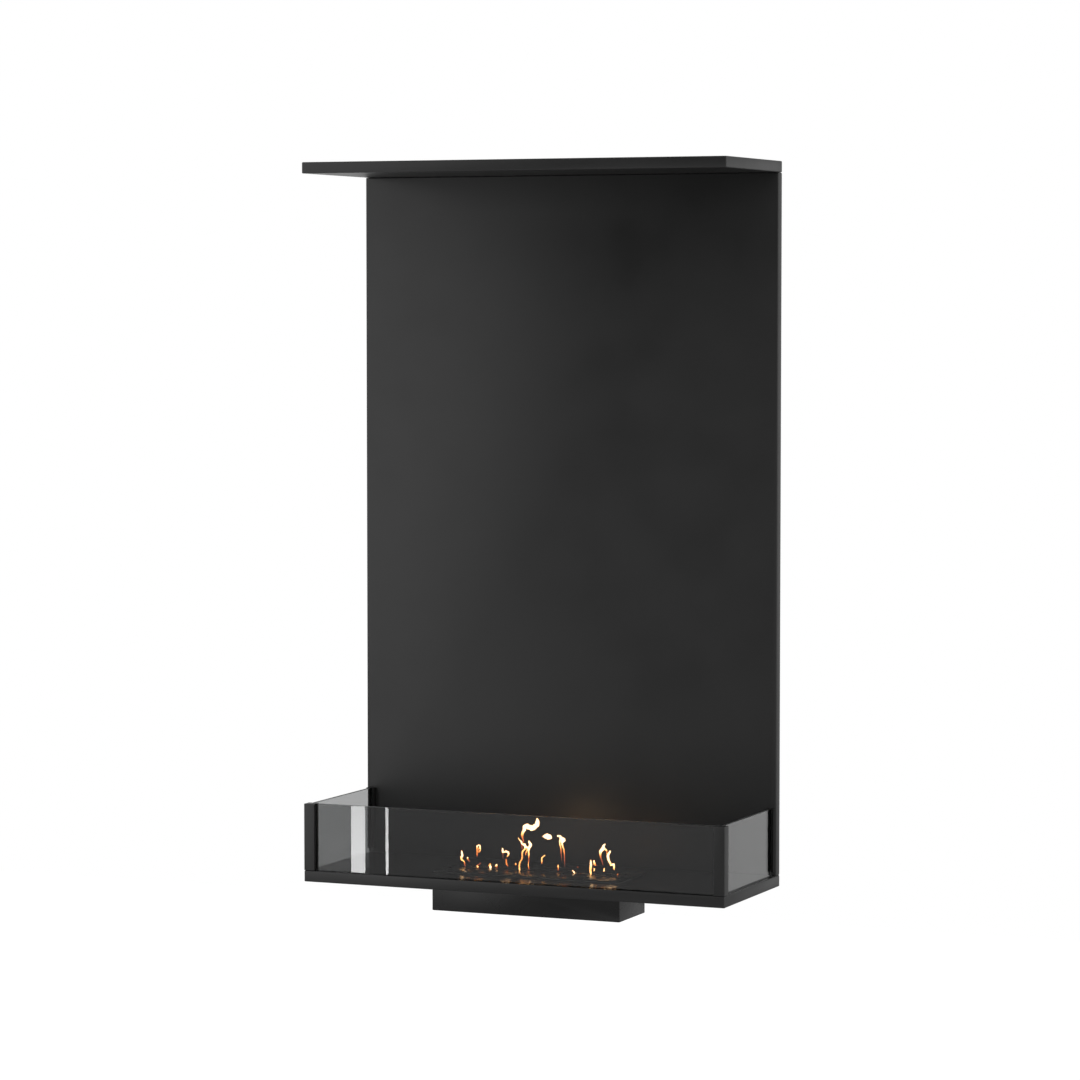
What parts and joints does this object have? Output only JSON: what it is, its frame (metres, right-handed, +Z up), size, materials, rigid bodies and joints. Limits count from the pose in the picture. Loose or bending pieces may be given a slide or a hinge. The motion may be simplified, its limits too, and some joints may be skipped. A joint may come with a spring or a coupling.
{
  "type": "bioethanol fireplace",
  "caption": "Built-in bioethanol fireplace, open on three sides: steel slab, back panel and tray, a low glass screen, and a lift-out burner with a sliding shutter.",
  "frame": {"origin": "middle of the object's footprint, level with the underside of the burner housing", "axes": "+X to the right seen from the front, +Y towards the wall, +Z up"},
  "size_m": [0.8, 0.28, 1.328],
  "materials": {
    "powder_coat_black": "fine matt black powder coat",
    "housing_black": "fine matt black powder coat",
    "channel_black": "dull black paint",
    "steel_galvanised": "zinc-plated steel",
    "steel_stainless": "bare stainless steel, rolled finish",
    "fastener_zinc": "bright zinc",
    "fastener_black": "black oxide",
    "glass_tinted": "clear tempered glass with a grey tint",
    "gasket_rubber": "black silicone strip",
    "ceramic_wool": "off-white ceramic fibre block"
  },
  "bodies": {
    "casing": {"back_panel": "powder_coat_black", "base_tray": "powder_coat_black", "burner_housing": "housing_black", "corner_post_left": "powder_coat_black", "corner_post_right": "powder_coat_black", "corner_post_screw_left": "fastener_zinc", "corner_post_screw_right": "fastener_zinc", "glass_channel_front": "channel_black", "glass_channel_left": "channel_black", "glass_channel_right": "channel_black", "glass_gasket_front": "gasket_rubber", "glass_gasket_left": "gasket_rubber", "glass_gasket_right": "gasket_rubber", "housing_nut_1": "fastener_zinc", "housing_nut_2": "fastener_zinc", "housing_nut_3": "fastener_zinc", "housing_nut_4": "fastener_zinc", "housing_nut_5": "fastener_zinc", "housing_nut_6": "fastener_zinc", "rear_channel_left": "channel_black", "rear_channel_right": "channel_black", "rear_channel_screw_left_1": "fastener_zinc", "rear_channel_screw_left_2": "fastener_zinc", "rear_channel_screw_right_1": "fastener_zinc", "rear_channel_screw_right_2": "fastener_zinc", "spill_tray": "steel_stainless", "top_bolt_1": "fastener_zinc", "top_bolt_2": "fastener_zinc", "top_bolt_3": "fastener_zinc", "top_bolt_4": "fastener_zinc", "top_panel": "powder_coat_black", "tray_bolt_1": "fastener_zinc", "tray_bolt_2": "fastener_zinc", "tray_bolt_3": "fastener_zinc", "tray_bolt_4": "fastener_zinc", "wall_rail_left": "steel_galvanised", "wall_rail_nut_left_1": "fastener_zinc", "wall_rail_nut_left_2": "fastener_zinc", "wall_rail_nut_right_1": "fastener_zinc", "wall_rail_nut_right_2": "fastener_zinc", "wall_rail_right": "steel_galvanised"},
    "front_pane": {"glass_front": "glass_tinted"},
    "left_pane": {"glass_left": "glass_tinted"},
    "right_pane": {"glass_right": "glass_tinted"},
    "burner": {"burner_cover": "housing_black", "burner_tank": "steel_stainless", "ceramic_wool": "ceramic_wool", "cover_screw_left_1": "fastener_black", "cover_screw_left_2": "fastener_black", "cover_screw_right_1": "fastener_black", "cover_screw_right_2": "fastener_black", "shutter_runner_left": "steel_stainless", "shutter_runner_right": "steel_stainless"},
    "shutter": {"shutter": "steel_stainless", "shutter_knob": "fastener_black"}
  },
  "joints": [
    {"name": "front_pane_lift", "type": "slide", "parent": "casing", "child": "front_pane", "axis": [0, 0, 1], "range_m": [0, 0.13]},
    {"name": "left_pane_lift", "type": "slide", "parent": "casing", "child": "left_pane", "axis": [0, 0, 1], "range_m": [0, 0.13]},
    {"name": "right_pane_lift", "type": "slide", "parent": "casing", "child": "right_pane", "axis": [0, 0, 1], "range_m": [0, 0.13]},
    {"name": "burner_lift", "type": "slide", "parent": "casing", "child": "burner", "axis": [0, 0, 1], "range_m": [0, 0.08]},
    {"name": "shutter_slide", "type": "slide", "parent": "burner", "child": "shutter", "axis": [0, 1, 0], "range_m": [0, 0.025]}
  ]
}
